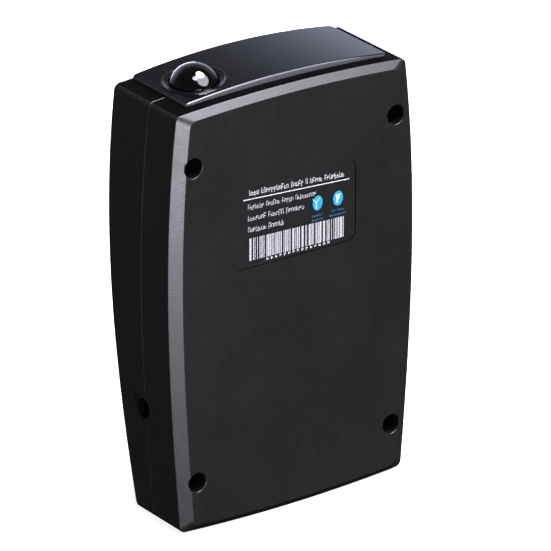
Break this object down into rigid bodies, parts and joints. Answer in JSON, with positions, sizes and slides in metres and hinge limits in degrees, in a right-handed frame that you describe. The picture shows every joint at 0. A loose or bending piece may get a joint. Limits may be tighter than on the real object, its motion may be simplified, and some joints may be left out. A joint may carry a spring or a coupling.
{
  "type": "radar detector",
  "caption": "Slim barrel-sided car radar detector with a smoked radar window, a domed laser lens, a side power jack, sprung push buttons and a bevelled label face.",
  "frame": {"origin": "middle of the bounding box at its lowest level, under the display end it stands on", "axes": "+Z along the length towards the radar window, -Y out of the label face, -X towards the power jack side"},
  "size_m": [0.0724, 0.0274, 0.1152],
  "materials": {
    "housing": "fine matt black moulding",
    "smoked_window": "smoked, polished",
    "dark_lens": "dark infrared-clear, polished",
    "gloss_trim": "gloss black",
    "label_film": "printed film, satin",
    "dark_steel": "black oxide",
    "bright_metal": "plated",
    "cast_metal": "as cast",
    "tin_plate": "tin plated",
    "board_green": "solder mask",
    "module_black": "moulded",
    "chip_black": "moulded",
    "ferrite": "fired, matt",
    "cone_paper": "pressed",
    "button_rubber": "matt",
    "stem_red": "moulded"
  },
  "bodies": {
    "housing": {"board_screw_1": "dark_steel", "board_screw_2": "dark_steel", "board_screw_3": "dark_steel", "board_screw_4": "dark_steel", "board_standoff_left": "bright_metal", "board_standoff_right": "bright_metal", "button_board": "board_green", "capacitor_left": "bright_metal", "capacitor_right": "bright_metal", "coil_block": "ferrite", "crystal_can": "bright_metal", "dc_jack": "module_black", "dc_jack_pin": "bright_metal", "display_board": "board_green", "display_module": "module_black", "display_window": "smoked_window", "dome_lens": "dark_lens", "horn_antenna": "cast_metal", "housing_screw_1": "dark_steel", "housing_screw_2": "dark_steel", "housing_screw_3": "dark_steel", "housing_screw_4": "dark_steel", "laser_board": "board_green", "laser_sensor": "module_black", "lens_ring": "gloss_trim", "lower_shell": "housing", "main_board": "board_green", "memory_chip": "chip_black", "mixer_board": "board_green", "pin_header": "module_black", "processor_chip": "chip_black", "rating_label": "label_film", "rf_shield": "tin_plate", "speaker_basket": "tin_plate", "speaker_cone": "cone_paper", "speaker_magnet": "ferrite", "switch_body_left": "module_black", "switch_body_middle": "module_black", "switch_body_right": "module_black", "upper_shell": "housing", "voice_chip": "chip_black", "window_plate": "smoked_window"},
    "press_left": {"button_left": "button_rubber", "switch_stem_left": "stem_red"},
    "press_middle": {"button_middle": "button_rubber", "switch_stem_middle": "stem_red"},
    "press_right": {"button_right": "button_rubber", "switch_stem_right": "stem_red"}
  },
  "joints": [
    {"name": "button_left_press", "type": "slide", "parent": "housing", "child": "press_left", "axis": [0, -1, 0], "range_m": [0, 0.0004], "stiffness_N_per_m": 1500},
    {"name": "button_middle_press", "type": "slide", "parent": "housing", "child": "press_middle", "axis": [0, -1, 0], "range_m": [0, 0.0004], "stiffness_N_per_m": 1500},
    {"name": "button_right_press", "type": "slide", "parent": "housing", "child": "press_right", "axis": [0, -1, 0], "range_m": [0, 0.0004], "stiffness_N_per_m": 1500}
  ]
}
